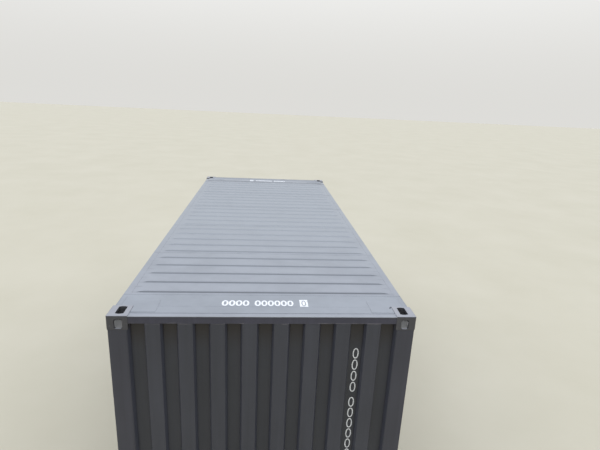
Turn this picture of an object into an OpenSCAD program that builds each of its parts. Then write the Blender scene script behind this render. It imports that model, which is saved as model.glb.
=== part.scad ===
// Twenty-foot dry cargo container of pressed and corrugated steel, doors shut.
// X runs across the width, Y along the length and Z up, with Z = 0 under the
// bottom castings. The blind end faces -Y, the doors face +Y and left is -X.

/* [Container] */
// Length over the corner castings
length = 6058; // [5700:1:6500]
// Width over the corner castings
width = 2438; // [2350:1:2500]
// Height over the corner castings
height = 2591; // [2438:1:2896]
// Set-back of the steel frame from the outer faces of the castings
inset = 4; // [2:0.5:8]
// Height of the underframe above the underside of the bottom castings
base_clear = 16; // [12:0.5:18]
// Drop from the top castings to the end headers
top_clear = 6; // [5:0.5:12]

/* [Corner castings] */
// Length of a casting along the container
fit_l = 178; // [170:1:190]
// Width of a casting across the container
fit_w = 162; // [155:1:170]
// Height of a casting
fit_h = 118; // [110:1:125]
// Thickness of the plate that holds the twistlock slot
fit_plate = 28; // [24:0.5:32]
// Thickness of the two outer walls
fit_wall = 18; // [12:0.5:22]
// Thickness of the three welded walls
fit_back = 8; // [6:0.5:10]
// Radius of the cast edges that show
fit_round = 12; // [6:0.5:16]
// Length of the twistlock slot
slot_l = 124; // [110:0.5:130]
// Width of the twistlock slot
slot_w = 63.5; // [55:0.5:70]
// Centre of the twistlock slot from the end face
slot_end = 101.5; // [95:0.5:104]
// Centre of the twistlock slot from the side face
slot_side = 89; // [80:0.5:95]
// Width of the hole in the end face
end_hole_w = 63.5; // [50:0.5:70]
// Width of the hole in the side face
side_hole_w = 51; // [45:0.5:60]
// Height of the end and side holes
hole_h = 79.5; // [70:0.5:80]
// Centre of the end and side holes from the slotted face
hole_drop = 70; // [68:0.5:72]
// Corner radius of the end and side holes
hole_round = 19; // [12:0.5:22]

/* [Front end] */
// Plate thickness of the front posts
front_post_t = 6; // [4:0.5:8]
// Width of the front face of a front post
front_post_face = 140; // [120:1:150]
// Width of the inward return at the back edge of a front post
front_post_lip = 40; // [30:1:60]
// Height and depth of the square tube of the front header
header_tube = 60; // [50:1:80]
// Wall of that tube
header_t = 3; // [2.5:0.5:5]
// Thickness of the pressed front sill
sill_t = 4; // [3:0.5:6]
// Depth of the top flange of the front sill
sill_flange = 60; // [58:1:80]
// Depth of the bottom flange of the front sill
sill_foot = 45; // [30:1:60]
// Thickness of the front wall sheet
front_t = 2; // [1.6:0.1:3]
// Depth of the front wall corrugation
front_depth = 45.6; // [36:0.1:50]
// Width of an outer flat of the front wall
front_outer = 115; // [90:1:130]
// Width of an inner flat of the front wall
front_inner = 102; // [80:1:120]
// Run of one slope of the front wall
front_slope = 16.5; // [14:0.5:30]
// Shortest flat at each end of the front wall
front_land = 6; // [6:0.5:40]

/* [Side walls] */
// Thickness of the side wall sheet
side_t = 1.6; // [1.4:0.1:2.5]
// Depth of the side wall corrugation
side_depth = 36; // [28:0.5:38]
// Width of an outer flat of a side wall
side_outer = 72; // [60:1:90]
// Width of an inner flat of a side wall
side_inner = 70; // [68:1:90]
// Run of one slope of a side wall
side_slope = 68; // [50:1:75]
// Shortest flat at each end of a side wall
side_land = 60; // [40:1:90]
// Bend radius of every pressed sheet
bend_r = 8; // [6:0.5:10]

/* [Roof] */
// Thickness of the stamped roof panels
roof_t = 2; // [1.6:0.1:3]
// Height of a stamped ridge above the flat of its panel
roof_depth = 12; // [10:0.5:24]
// Distance from one ridge to the next
roof_pitch = 209; // [190:1:230]
// Width of the top of a ridge
roof_crest = 91; // [70:1:110]
// Run of one slope of a ridge
roof_slope = 10; // [8:0.5:20]
// Flat margin from the side edge of a panel to the foot of a ridge
roof_margin = 85; // [75:1:110]
// Run of the tapered end of a ridge
roof_taper = 70; // [30:1:90]
// Number of roof panels
roof_panels = 5; // [5]
// Set-back of the roof edge from the outer face of the top side rail
roof_edge = 6; // [4:1:20]
// Thickness of the flat plates next to the end headers
plate_t = 4; // [3:0.5:5]
// Gap that the butt welds of the end plates fill, between the castings
root_gap = 0.6; // [0.3:0.1:0.8]
// Thickness of the protection plates beside the top castings
guard_t = 3; // [2:0.5:4]
// Width of a protection plate inboard of its casting
guard_w = 187; // [150:1:230]
// Length of a protection plate behind the end face of its casting
guard_l = 285; // [250:1:300]
// Start of a protection plate behind that face
guard_start = 80; // [70:1:150]

/* [Rails and floor] */
// Size of the square tube of the top side rails
top_rail = 60; // [50:1:70]
// Wall of that tube
top_rail_t = 3; // [2.5:0.5:4.5]
// Height of the bottom side rails
rail_h = 158; // [154:1:170]
// Width of the top flange of the bottom side rails
rail_top = 48; // [46:1:60]
// Width of the bottom flange of the bottom side rails
rail_foot = 30; // [20:1:40]
// Thickness of the bottom side rails
rail_t = 4.5; // [3:0.5:6]
// Height of the cross members
cross_h = 122; // [122:1:126]
// Width of the top flange of a cross member
cross_top = 45; // [40:1:60]
// Width of the bottom flange of a cross member
cross_foot = 40; // [30:1:50]
// Thickness of a cross member
cross_t = 4; // [3:0.5:5]
// Widest spacing of the cross members
cross_pitch = 305; // [280:1:340]
// Distance between the centres of the two fork pockets
fork_spacing = 2050; // [1800:1:2100]
// Clear width of a fork pocket
fork_w = 360; // [340:1:400]
// Clear height of a fork pocket
fork_h = 114; // [108:0.5:114]
// Thickness of the plates of a fork pocket
fork_t = 3; // [2:0.5:3]
// Length of the straps under the ends of a fork pocket
strap_l = 200; // [150:1:300]
// Thickness of the plywood floor
floor_t = 28; // [24:1:32]
// Joint between two floor boards
floor_gap = 3; // [2:0.5:6]
// Floor boards along the length
floor_rows = 3; // [2:1:4]

/* [Door end] */
// Set-back of the doors and their frame from the end face
door_face = 56; // [54:1:60]
// Plate thickness of the outer part of the rear posts
rear_post_t = 6; // [4:0.5:8]
// Width of the inner channel of a rear post along the container
rear_channel = 108; // [90:1:112]
// Thickness of that channel
rear_channel_t = 12; // [8:0.5:14]
// Width of a rear post across the container
rear_post_w = 43; // [40:1:50]
// Height of the door header
door_header_h = 135; // [125:1:150]
// Thickness of the door header and door sill
door_frame_t = 4; // [3:0.5:5]
// Depth of the door sill
door_sill_d = 100; // [80:1:110]
// Gap between a door leaf and the frame around it
leaf_gap = 12; // [10:0.5:16]
// Depth of a door leaf
leaf_d = 50; // [45:1:60]
// Width of the upright tubes of a leaf
stile_w = 100; // [80:1:120]
// Height of the top and bottom tubes of a leaf
leaf_rail_h = 150; // [120:1:170]
// Wall of the tubes of a leaf
leaf_t = 3.2; // [2.5:0.1:4]
// Thickness of the door panels
door_t = 2; // [1.6:0.1:3]
// Depth of the door panel corrugation
door_depth = 36; // [25:0.5:40]
// Width of an outer flat of a door panel
door_outer = 72; // [60:1:90]
// Width of an inner flat of a door panel
door_inner = 98; // [80:1:120]
// Run of one slope of a door panel
door_slope = 68; // [50:1:80]
// Depth of the rubber seal in the gap round the leaves
seal_d = 36; // [25:1:45]

/* [Door gear] */
// Outer diameter of a lock rod
rod_d = 34; // [30:0.5:36]
// Wall of a lock rod
rod_t = 3; // [2:0.5:4]
// Distance from the face of a leaf to the axis of a lock rod
rod_off = 22; // [21:0.5:24]
// Distance from the middle of the doorway to the inner lock rods
rod_inner_x = 240; // [200:1:300]
// Distance from the middle of the doorway to the outer lock rods
rod_outer_x = 880; // [820:1:920]
// Running clearance round the rods and the hinge pins
run_gap = 0.3; // [0.2:0.05:0.5]
// Height of a cam
cam_h = 24; // [18:1:30]
// Reach of a cam to the side of its rod
cam_reach = 44; // [38:1:50]
// Thickness of a keeper lug
keeper_t = 10; // [8:1:14]
// Height of a rod bracket
bracket_h = 50; // [40:1:60]
// Plate thickness of a rod bracket
bracket_t = 4; // [3:0.5:6]
// Place of the middle brackets as a share of the height of a leaf
bracket_place = 0.3; // [0.2:0.01:0.35]
// Length of a handle from its lock rod
handle_l = 540; // [450:1:580]
// Width of a handle bar
handle_w = 30; // [24:1:36]
// Thickness of a handle bar
handle_t = 12; // [10:1:14]
// Height of the lower handles above the castings' underside
handle_z = 1080; // [900:1:1200]
// Rise from the lower handles to the upper handles
handle_step = 150; // [120:1:200]
// Number of hinges on a leaf
hinges = 4; // [4:1:5]
// Diameter of a hinge pin
pin_d = 20; // [16:1:22]
// Distance from the face of the door frame to the pin axis
pin_off = 26; // [25:1:28]
// Height of a hinge knuckle
knuckle_h = 70; // [60:1:90]
// Thickness of the two lugs of a hinge
lug_t = 12; // [10:1:16]
// Length of a hinge blade on its leaf
blade_l = 200; // [150:1:240]
// Thickness of a hinge blade
blade_t = 8; // [6:1:10]

/* [Ventilators] */
// Width of a ventilator
vent_w = 60; // [50:1:64]
// Height of a ventilator
vent_h = 170; // [120:1:200]
// Depth of a ventilator
vent_d = 24; // [16:1:30]
// Width of the closed rim at each side of the louvres
vent_rim = 8; // [5:0.5:12]
// Number of louvres in a ventilator
vent_slots = 4; // [3:1:5]
// Drop from the top side rail to the ventilator
vent_drop = 40; // [20:1:100]

/* [Hidden] */
$fn = 48;

// Overcut of a cutter past the face it cuts
cut = 1;
paint = "#4a4e54";
paint_light = "#5d6268";

// Outer corner of the container and the inner faces of the castings
half_w = width / 2;
half_l = length / 2;
cast_x = half_w - fit_w;
cast_y = half_l - fit_l;
cast_top = height - fit_h;
face_x = half_w - inset;

// Levels of the underframe
floor_base = base_clear + cross_h;
floor_top = floor_base + floor_t;
rail_top_z = base_clear + rail_h;
sill_top_z = floor_top + sill_t;

// Fork pockets stand on the bottom flange of the rails
fork_low = base_clear + rail_t;
strap_x = face_x - rail_foot;
web_x = face_x - rail_t;

// Levels of the roof
header_top = height - top_clear;
rail_top_in = header_top - plate_t - roof_depth;
rail_under = rail_top_in - top_rail;
header_under = header_top - header_tube;

// Front wall between the posts
front_face = -half_l + inset;
post_in_x = face_x - front_post_face;

// Door end, measured from the end face
door_y = half_l - door_face;
doorway_x = face_x - rear_post_w;
doorway_low = sill_top_z;
doorway_high = header_top - door_header_h;
leaf_out_x = doorway_x - leaf_gap;
leaf_in_x = leaf_gap / 2;
leaf_low = doorway_low + leaf_gap;
leaf_high = doorway_high - leaf_gap;
leaf_back = door_y - leaf_d;

// The door header reaches inward to the inner faces of the castings
door_header_d = fit_l - door_face;

// Door gear
rod_y = door_y + rod_off;
cam_low_z = base_clear + (doorway_low - base_clear) / 2;
cam_high_z = doorway_high + door_header_h / 2;
pin_x = face_x - rear_post_w / 2;
pin_y = door_y + pin_off;
knuckle_r = pin_d / 2 + blade_t;
hinge_zs = [for (i = [1:hinges]) leaf_low + (leaf_high - leaf_low) * (i - 0.5) / hinges];
leaf_h = leaf_high - leaf_low;
bracket_zs = [leaf_low + leaf_rail_h / 2, leaf_low + leaf_h * bracket_place,
              leaf_high - leaf_h * bracket_place, leaf_high - leaf_rail_h / 2];

// Corrugations of the side walls: the flats at both ends take what is left over
side_run = 2 * cast_y;
side_pitch = side_outer + side_inner + 2 * side_slope;
side_count = floor((side_run - 2 * side_land + side_outer) / side_pitch);
side_end = (side_run - side_count * side_pitch + side_outer) / 2;

// Outer plane of the side wall sheet, set back a little from the rails
side_x = face_x - side_t / 2;

// Ridges of the roof: whole ridges in each panel, as near the pitch as fits
roof_foot = roof_crest + 2 * roof_slope;
plate_flat = (roof_pitch - roof_foot) / 2;
roof_room = length - 2 * guard_l - 2 * roof_slope - 2 * plate_flat;
panel_ridges = floor(roof_room / roof_panels / roof_pitch);
panel_l = panel_ridges * roof_pitch;
roof_half = roof_panels * panel_l / 2;
roof_x = face_x - roof_edge;

// Vector helpers for folded sheet
function unit(v) = v / norm(v);
function left_of(d) = [-d[1], d[0]];

// Points of the bend that replaces the corner b between a and c
function bend(a, b, c, r, steps) =
    let (u = unit(a - b), v = unit(c - b), half = acos(u * v) / 2,
         mid = b + unit(u + v) * r / sin(half), from = b + u * r / tan(half) - mid,
         start = atan2(from[1], from[0]),
         way = u[0] * v[1] - u[1] * v[0] > 0 ? -1 : 1,
         sweep = way * (180 - 2 * half))
    [for (i = [0:steps]) mid + r * [cos(start + sweep * i / steps), sin(start + sweep * i / steps)]];

// A path with every inner corner bent to the radius r
function bent(path, r, steps = 2) =
    [path[0],
     for (i = [1:len(path) - 2]) each bend(path[i - 1], path[i], path[i + 1], r, steps),
     path[len(path) - 1]];

// The other face of a sheet of thickness t whose first face is the path
function other_face(path, t) =
    let (last = len(path) - 1)
    [for (i = [0:last])
        let (before = unit(path[max(i, 1)] - path[max(i, 1) - 1]),
             after = unit(path[min(i, last - 1) + 1] - path[min(i, last - 1)]),
             n0 = left_of(before), n1 = left_of(after))
        path[i] + t * (n0 + n1) / (1 + n0 * n1)];

// Flat outline of a folded sheet: t is positive to the left of the path
module sheet(path, t, r = bend_r) {
    face = bent(path, r);
    back = other_face(face, t);
    polygon(concat(face, [for (i = [len(back) - 1:-1:0]) back[i]]));
}

// Corners of a trapezoidal corrugation: outer flats at depth 0
function wave(start, finish, count, flat, slope, inner, outer, depth) =
    let (pitch = outer + inner + 2 * slope, first = start + flat)
    concat([[start, 0]],
           [for (i = [0:count - 1])
               let (a = first + i * pitch)
               each [[a, 0], [a + slope, depth], [a + slope + inner, depth],
                     [a + 2 * slope + inner, 0]]],
           [[finish, 0]]);

module block(lo, hi) { translate(lo) cube(hi - lo); }

// A section drawn as (y, z), pulled along X
module along_x(x0, x1) { translate([x0, 0, 0]) rotate([90, 0, 90]) linear_extrude(x1 - x0) children(); }

// A section drawn as (x, z), pulled along Y
module along_y(y0, y1) { translate([0, y1, 0]) rotate([90, 0, 0]) linear_extrude(y1 - y0) children(); }

// A plan drawn as (x, y), pulled up Z
module along_z(z0, z1) { translate([0, 0, z0]) linear_extrude(z1 - z0) children(); }

// The same shape again on the other side of the middle plane
module on_side(side) { mirror([side < 0 ? 1 : 0, 0, 0]) children(); }

// Rectangle with its corner at the origin rounded
module soft_corner(size, r) {
    translate([r, 0]) square([size[0] - r, size[1]]);
    translate([0, r]) square([size[0], size[1] - r]);
    translate([r, r]) circle(r);
}

// Twistlock slot: a disc trimmed to two straight sides, its length along the second axis
module slot(w, l) {
    intersection() {
        circle(d = l);
        square([w, l], center = true);
    }
}

// Window with rounded corners
module window(w, h, r) {
    square([w - 2 * r, h], center = true);
    square([w, h - 2 * r], center = true);
    for (x = [-1, 1], z = [-1, 1])
        translate([x * (w / 2 - r), z * (h / 2 - r)]) circle(r);
}

// Cast corner fitting: outer corner at the origin, slotted plate at Z = 0
module corner_fitting() {
    difference() {
        intersection() {
            along_z(0, fit_h) soft_corner([fit_w, fit_l], fit_round);
            along_x(0, fit_w) soft_corner([fit_l, fit_h], fit_round / 2);
            along_y(0, fit_l) soft_corner([fit_w, fit_h], fit_round / 2);
        }
        block([fit_wall, fit_wall, fit_plate], [fit_w - fit_back, fit_l - fit_back, fit_h - fit_back]);
        translate([slot_side, slot_end, 0]) along_z(-cut, fit_plate + cut) slot(slot_w, slot_l);
        translate([slot_side, 0, hole_drop])
            along_y(-cut, fit_wall + cut) window(end_hole_w, hole_h, hole_round);
        translate([0, slot_end, hole_drop])
            along_x(-cut, fit_wall + cut) window(side_hole_w, hole_h, hole_round);
    }
}

module casting(side, end, top) {
    color(paint)
        translate([side * half_w, end * half_l, top ? height : 0])
            mirror([side > 0 ? 1 : 0, 0, 0])
                mirror([0, end > 0 ? 1 : 0, 0])
                    mirror([0, 0, top ? 1 : 0]) corner_fitting();
}

// Folded front post: front face, side face and a return for the side wall
module front_post(side) {
    color(paint) on_side(side) along_z(fit_h, cast_top)
        sheet([[post_in_x, front_face], [face_x, front_face], [face_x, -cast_y],
               [face_x - front_post_lip, -cast_y]], front_post_t);
}

// Rear post: folded outer plate, inner channel and the lugs of four hinges
module rear_post(side) {
    back = door_y - rear_post_t;
    color(paint) on_side(side) difference() {
        union() {
            along_z(fit_h, cast_top) {
                translate([face_x - rear_post_t, cast_y]) square([rear_post_t, door_y - cast_y]);
                translate([doorway_x, back]) square([rear_post_w, rear_post_t]);
                difference() {
                    translate([doorway_x, back - rear_channel]) square([rear_post_w, rear_channel]);
                    translate([doorway_x + rear_channel_t, back - rear_channel + rear_channel_t])
                        square([rear_post_w, rear_channel - 2 * rear_channel_t]);
                }
            }
            for (z = hinge_zs, end = [-1, 1])
                translate([0, 0, z + end * (knuckle_h + lug_t + 2 * run_gap) / 2 - lug_t / 2])
                    along_z(0, lug_t) {
                        translate([pin_x - knuckle_r, door_y - cut])
                            square([2 * knuckle_r, pin_off + cut]);
                        translate([pin_x, pin_y]) circle(knuckle_r);
                    }
        }
        for (z = hinge_zs)
            translate([pin_x, pin_y, z - knuckle_h])
                cylinder(h = 2 * knuckle_h, r = pin_d / 2 + run_gap);
    }
}

// Square tube between the top castings of the blind end
module front_header() {
    color(paint) along_x(-cast_x, cast_x) translate([front_face, header_under]) difference() {
        square(header_tube);
        translate([header_t, header_t]) square(header_tube - 2 * header_t);
    }
}

// Section that runs between the castings, and wider where it is clear of them
module between(narrow_x, wide_x, low, high) {
    along_x(-narrow_x, narrow_x) children();
    intersection() {
        along_x(-wide_x, wide_x) children();
        block([-wide_x, -half_l, low], [wide_x, half_l, high]);
    }
}

// Box section over the doors
module door_header() {
    color(paint) between(cast_x, doorway_x, doorway_high, cast_top)
        translate([door_y - door_header_d, doorway_high]) difference() {
            square([door_header_d, door_header_h]);
            translate([door_frame_t, door_frame_t])
                square([door_header_d - 2 * door_frame_t, door_header_h - 2 * door_frame_t]);
        }
}

// Folded channel under the front wall
module front_sill() {
    color(paint) between(cast_x, post_in_x, fit_h, sill_top_z)
        sheet([[front_face + sill_foot, base_clear], [front_face, base_clear],
               [front_face, sill_top_z], [front_face + sill_flange, sill_top_z]], -sill_t, bend_r);
}

// Folded channel under the doors, open to the inside
module door_sill() {
    color(paint) between(cast_x, doorway_x, fit_h, sill_top_z)
        sheet([[door_y - cross_foot, base_clear], [door_y, base_clear], [door_y, sill_top_z],
               [door_y - door_sill_d, sill_top_z]], door_frame_t, bend_r);
}

module top_side_rail(side) {
    color(paint) on_side(side) along_y(-cast_y, cast_y)
        translate([face_x - top_rail, rail_under]) difference() {
            square(top_rail);
            translate([top_rail_t, top_rail_t]) square(top_rail - 2 * top_rail_t);
        }
}

// Folded channel with a window at each end of the fork pockets
module bottom_side_rail(side) {
    color(paint) on_side(side) difference() {
        along_y(-cast_y, cast_y)
            sheet([[face_x - rail_foot, base_clear], [face_x, base_clear], [face_x, rail_top_z],
                   [face_x - rail_top, rail_top_z]], rail_t, bend_r);
        for (end = [-1, 1])
            block([face_x - rail_t - bend_r, end * fork_spacing / 2 - fork_w / 2, fork_low],
                  [face_x + cut, end * fork_spacing / 2 + fork_w / 2, fork_low + fork_h]);
    }
}

// A cross channel, coped over the bottom flanges of the side rails
module cross_channel(y, way) {
    difference() {
        along_x(-web_x, web_x) translate([y, 0]) mirror([way < 0 ? 1 : 0, 0])
            sheet([[cross_foot, base_clear], [0, base_clear], [0, floor_base],
                   [cross_top, floor_base]], -cross_t, cross_t * 1.5);
        for (end = [-1, 1])
            mirror([end < 0 ? 1 : 0, 0, 0])
                block([strap_x, y - cross_top - cut, base_clear - cut],
                      [web_x + cut, y + cross_top + cut, fork_low]);
    }
}

// Cross members spread evenly over one bay of the underframe
module cross_bay(from, to) {
    count = ceil((to - from) / cross_pitch) - 1;
    for (i = [1:count])
        cross_channel(from + (to - from) * i / (count + 1), 1);
}

module cross_members() {
    pocket = fork_w / 2 + cross_top;
    color(paint_light) {
        cross_bay(front_face + sill_foot, -fork_spacing / 2 - pocket);
        cross_bay(-fork_spacing / 2 + pocket, fork_spacing / 2 - pocket);
        cross_bay(fork_spacing / 2 + pocket, door_y - door_sill_d);
    }
}

// Two channels, a top plate and a strap under each end
module fork_pocket(y) {
    lap = 2 * cross_t;
    cross_channel(y - fork_w / 2, -1);
    cross_channel(y + fork_w / 2, 1);
    block([-web_x, y - fork_w / 2 - lap, floor_base - fork_t],
          [web_x, y + fork_w / 2 + lap, floor_base]);
    for (end = [-1, 1])
        mirror([end < 0 ? 1 : 0, 0, 0])
            block([strap_x - strap_l, y - fork_w / 2 - lap, base_clear],
                  [strap_x, y + fork_w / 2 + lap, fork_low]);
}

module fork_pockets() {
    color(paint_light)
        for (end = [-1, 1]) fork_pocket(end * fork_spacing / 2);
}

// Plywood boards laid on the cross members in two columns
module floor_boards() {
    x = face_x - rail_top - floor_gap;
    y0 = front_face + sill_t;
    y1 = door_y - door_frame_t;
    board_x = x - floor_gap / 2;
    board_y = (y1 - y0 - (floor_rows - 1) * floor_gap) / floor_rows;
    color("#8a6a47")
        for (side = [0, 1], i = [0:floor_rows - 1])
            translate([side * (board_x + floor_gap) - x, y0 + i * (board_y + floor_gap), floor_base])
                cube([board_x, board_y, floor_t]);
}

// Corrugated blind end, notched round the top castings
module front_wall() {
    run = 2 * post_in_x;
    pitch = front_outer + front_inner + 2 * front_slope;
    count = floor((run + front_outer - 2 * front_land) / pitch);
    flat = (run - count * pitch + front_outer) / 2;
    y = front_face + front_t;
    color(paint) difference() {
        along_z(sill_top_z, header_under) translate([0, y])
            sheet(wave(-post_in_x, post_in_x, count, flat, front_slope, front_inner, front_outer,
                       front_depth), front_t, bend_r / 2);
        for (side = [-1, 1])
            mirror([side < 0 ? 1 : 0, 0, 0])
                block([cast_x, -half_l, cast_top], [half_w, half_l, height]);
    }
}

// Corrugated side wall between the posts, from the bottom rail to the top rail
module side_wall(side) {
    color(paint) on_side(side) along_z(rail_top_z, rail_under)
        translate([side_x, 0]) rotate(90)
            sheet(wave(-cast_y, cast_y, side_count, side_end, side_slope, side_inner, side_outer,
                       side_depth), side_t, bend_r);
}

// Raised boss with sloped sides and ends: the form of every roof stamping
module boss(foot_x, foot_y, slope_x, slope_y, rise, t, inner) {
    drop_x = inner ? t * tan(atan2(rise, slope_x) / 2) : 0;
    drop_y = inner ? t * tan(atan2(rise, slope_y) / 2) : 0;
    low = inner ? -t : 0;
    base = inner ? -t - cut : -t / 2;
    intersection() {
        along_x(-foot_x, foot_x)
            polygon([[foot_y[0] + drop_y, base], [foot_y[0] + drop_y, low],
                     [foot_y[0] + slope_y + drop_y, low + rise],
                     [foot_y[1] - slope_y - drop_y, low + rise],
                     [foot_y[1] - drop_y, low], [foot_y[1] - drop_y, base]]);
        along_y(foot_y[0], foot_y[1])
            polygon([[-foot_x + drop_x, base], [-foot_x + drop_x, low],
                     [-foot_x + slope_x + drop_x, low + rise], [foot_x - slope_x - drop_x, low + rise],
                     [foot_x - drop_x, low], [foot_x - drop_x, base]]);
    }
}

// One stamped roof panel with its ridges
module roof_panel(i) {
    y0 = -roof_half + (i - 1) * panel_l;
    foot_x = roof_x - roof_margin;
    color(paint) translate([0, y0, rail_top_in + roof_t]) difference() {
        union() {
            block([-roof_x, 0, -roof_t], [roof_x, panel_l, 0]);
            for (k = [0:panel_ridges - 1])
                boss(foot_x, ridge_feet(k), roof_taper, roof_slope, roof_depth, roof_t, false);
        }
        for (k = [0:panel_ridges - 1])
            boss(foot_x, ridge_feet(k), roof_taper, roof_slope, roof_depth, roof_t, true);
    }
}

function ridge_feet(k) = [plate_flat + k * roof_pitch, plate_flat + k * roof_pitch + roof_foot];

// Flat plate beside an end header, stepped down to the roof panels and side rails. The
// strip between the castings is a plate of its own, butted on with an open root
module roof_plate(start) {
    rise = roof_depth;
    slope = roof_slope;
    wing_x = roof_x - roof_margin / 2;
    foot = half_l - roof_half - plate_flat;
    color(paint) translate([0, -half_l, rail_top_in + plate_t]) difference() {
        union() {
            block([-roof_x, fit_l, -plate_t], [roof_x, half_l - roof_half, 0]);
            boss(wing_x, [start - 2 * slope, foot], slope, slope, rise, plate_t, false);
        }
        boss(wing_x, [start - 4 * slope, foot], slope, slope, rise, plate_t, true);
        block([-half_w, -cut, -fit_h], [half_w, start, fit_h]);
        block([-half_w, fit_l - root_gap, -fit_h], [half_w, fit_l, fit_h]);
        for (side = [-1, 1])
            mirror([side < 0 ? 1 : 0, 0, 0]) block([cast_x, -cut, -fit_h], [half_w, fit_l, fit_h]);
    }
}

// Protection plates round the inner corner of the four top castings
module corner_plates() {
    color(paint)
        for (side = [-1, 1], end = [-1, 1])
            mirror([side < 0 ? 1 : 0, 0, 0]) mirror([0, end > 0 ? 1 : 0, 0])
                along_z(header_top, header_top + guard_t) difference() {
                    translate([cast_x - guard_w, -half_l + guard_start])
                        square([roof_x - roof_margin - cast_x + guard_w, guard_l - guard_start]);
                    translate([cast_x, -half_l]) square([fit_w, fit_l]);
                }
}

// Welded frame of one door leaf
module door_frame(side) {
    color(paint) on_side(side) difference() {
        block([leaf_in_x, leaf_back, leaf_low], [leaf_out_x, door_y, leaf_high]);
        block([leaf_in_x + stile_w, leaf_back - cut, leaf_low + leaf_rail_h],
              [leaf_out_x - stile_w, door_y + cut, leaf_high - leaf_rail_h]);
        for (x = [leaf_in_x, leaf_out_x - stile_w])
            block([x + leaf_t, leaf_back + leaf_t, leaf_low + leaf_t],
                  [x + stile_w - leaf_t, door_y - leaf_t, leaf_high - leaf_t]);
        for (z = [leaf_low, leaf_high - leaf_rail_h])
            block([leaf_in_x + stile_w, leaf_back + leaf_t, z + leaf_t],
                  [leaf_out_x - stile_w, door_y - leaf_t, z + leaf_rail_h - leaf_t]);
    }
}

// Panel with level corrugations inside the frame of a leaf
module door_panel(side) {
    low = leaf_low + leaf_rail_h;
    high = leaf_high - leaf_rail_h;
    pitch = door_outer + door_inner + 2 * door_slope;
    count = floor((high - low - 2 * bend_r) / pitch);
    flat = (high - low - count * pitch + door_outer) / 2;
    color(paint) on_side(side)
        along_x(leaf_in_x + stile_w, leaf_out_x - stile_w) translate([door_y - door_t, 0]) rotate(90)
            sheet(wave(low, high, count, flat, door_slope, door_inner, door_outer, door_depth),
                  door_t, bend_r);
}

// Blade, knuckle and pin of each hinge
module door_hinges() {
    color(paint_light)
        for (side = [-1, 1], z = hinge_zs) on_side(side) translate([0, 0, z]) {
            difference() {
                translate([0, 0, -knuckle_h / 2]) along_z(0, knuckle_h) {
                    translate([pin_x, pin_y]) circle(knuckle_r);
                    sheet([[pin_x, pin_y + pin_d / 4], [pin_x - knuckle_r, pin_y + pin_d / 4],
                           [leaf_out_x - blade_t, door_y], [leaf_out_x - blade_l, door_y]],
                          -blade_t, blade_t * 1.25);
                }
                translate([pin_x, pin_y, -knuckle_h])
                    cylinder(h = 2 * knuckle_h, r = pin_d / 2 + run_gap);
            }
            translate([pin_x, pin_y, -knuckle_h / 2 - lug_t - 2 * run_gap])
                cylinder(h = knuckle_h + 2 * lug_t + 4 * run_gap, r = pin_d / 2);
        }
}

// The four lock rods with a cam at each end
module lock_rods() {
    color(paint_light)
        for (side = [-1, 1], x = [rod_inner_x, rod_outer_x]) on_side(side) translate([x, rod_y, 0]) {
            difference() {
                translate([0, 0, cam_low_z]) cylinder(h = cam_high_z - cam_low_z, d = rod_d);
                translate([0, 0, cam_low_z - cut])
                    cylinder(h = cam_high_z - cam_low_z + 2 * cut, d = rod_d - 2 * rod_t);
            }
            for (z = [cam_low_z, cam_high_z])
                along_z(z - cam_h / 2, z + cam_h / 2) {
                    circle(d = rod_d + 2 * rod_t);
                    polygon([[0, -rod_off / 2], [cam_reach, -rod_off / 2], [cam_reach, 0],
                             [cam_reach / 2, rod_d / 2], [0, rod_d / 2]]);
                }
        }
}

// Keepers on the door header and sill: a back plate with a lug above and below the cam
module cam_keepers() {
    color(paint_light)
        for (side = [-1, 1], x = [rod_inner_x, rod_outer_x], z = [cam_low_z, cam_high_z])
            on_side(side) translate([x, 0, z]) {
                block([rod_d, door_y, -cam_h / 2 - keeper_t],
                      [cam_reach + rod_t, door_y + rod_off / 4, cam_h / 2 + keeper_t]);
                for (end = [-1, 1])
                    translate([0, 0, end * (cam_h / 2 + run_gap + keeper_t / 2)])
                        block([rod_d, door_y, -keeper_t / 2],
                              [cam_reach + rod_t, rod_y + rod_d / 4, keeper_t / 2]);
            }
}

// Bearing brackets of the lock rods and the catches that hold the handles
module rod_brackets() {
    catch_xs = [rod_inner_x + handle_l - handle_w, rod_outer_x - handle_l + handle_w];
    color(paint_light)
        for (side = [-1, 1]) on_side(side) {
            for (x = [rod_inner_x, rod_outer_x], z = bracket_zs)
                translate([x, 0, z - bracket_h / 2]) difference() {
                    along_z(0, bracket_h) {
                        translate([-rod_d, door_y]) square([2 * rod_d, bracket_t]);
                        translate([-rod_d / 2 - bracket_t, door_y])
                            square([rod_d + 2 * bracket_t, rod_off]);
                        translate([0, rod_y]) circle(d = rod_d + 2 * bracket_t);
                    }
                    translate([0, rod_y, -cut])
                        cylinder(h = bracket_h + 2 * cut, d = rod_d + 2 * run_gap);
                }
            for (i = [0, 1])
                translate([catch_xs[i], 0, handle_z + i * handle_step]) difference() {
                    block([-handle_w / 2, door_y, -handle_w],
                          [handle_w / 2, rod_y + handle_t, handle_w]);
                    block([-handle_w, rod_y - handle_t / 2 - run_gap, -handle_w / 2 - run_gap],
                          [handle_w, rod_y + 2 * handle_t, handle_w / 2 + run_gap]);
                }
        }
}

// Flat handles clamped to the lock rods
module door_handles() {
    color(paint_light)
        for (side = [-1, 1], i = [0, 1]) on_side(side)
            translate([i == 0 ? rod_inner_x : rod_outer_x, rod_y, handle_z + i * handle_step])
                mirror([i, 0, 0]) difference() {
                    union() {
                        translate([0, 0, -handle_w]) cylinder(h = 2 * handle_w, d = rod_d + handle_t);
                        block([0, -handle_t / 2, -handle_w / 2], [handle_l, handle_t / 2, handle_w / 2]);
                    }
                    translate([0, 0, -handle_w - cut])
                        cylinder(h = 2 * handle_w + 2 * cut, d = rod_d + 2 * run_gap);
                }
}

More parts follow.
